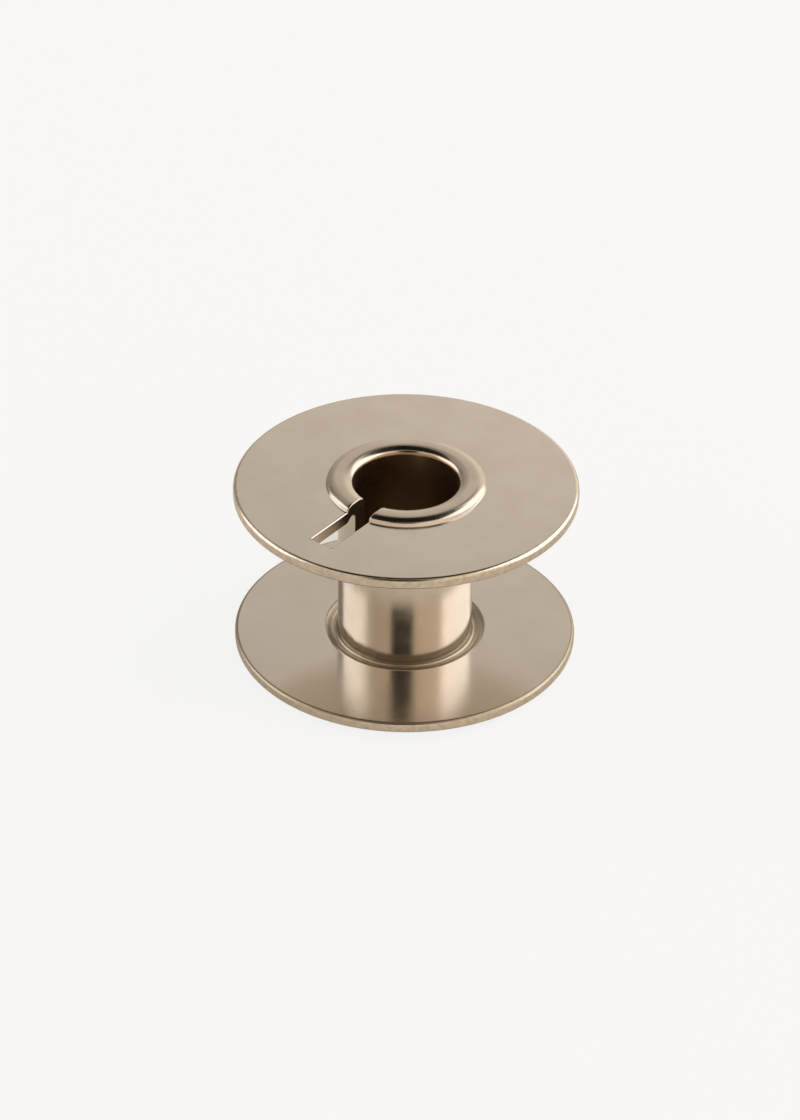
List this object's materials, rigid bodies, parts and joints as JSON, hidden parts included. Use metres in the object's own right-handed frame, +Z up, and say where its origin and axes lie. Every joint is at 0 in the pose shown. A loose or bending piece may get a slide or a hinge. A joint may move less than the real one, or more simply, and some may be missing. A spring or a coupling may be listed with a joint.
{
  "type": "sewing machine bobbin",
  "caption": "Bright plated metal bobbin for the lower thread of a sewing machine: hollow core between thin round flanges, hub rings round the bore and a slot through one flange.",
  "frame": {"origin": "on the bore's axis at the crest of the lower hub ring, where the bobbin stands", "axes": "+Z up along the bore's axis; the slot through the upper flange runs from the bore towards -Y"},
  "size_m": [0.0203, 0.0202, 0.0115],
  "materials": {
    "nickel_plating": "bright nickel plating on steel, with a warm tone and faint turning marks"
  },
  "bodies": {
    "root": {"bobbin": "nickel_plating"}
  },
  "joints": []
}
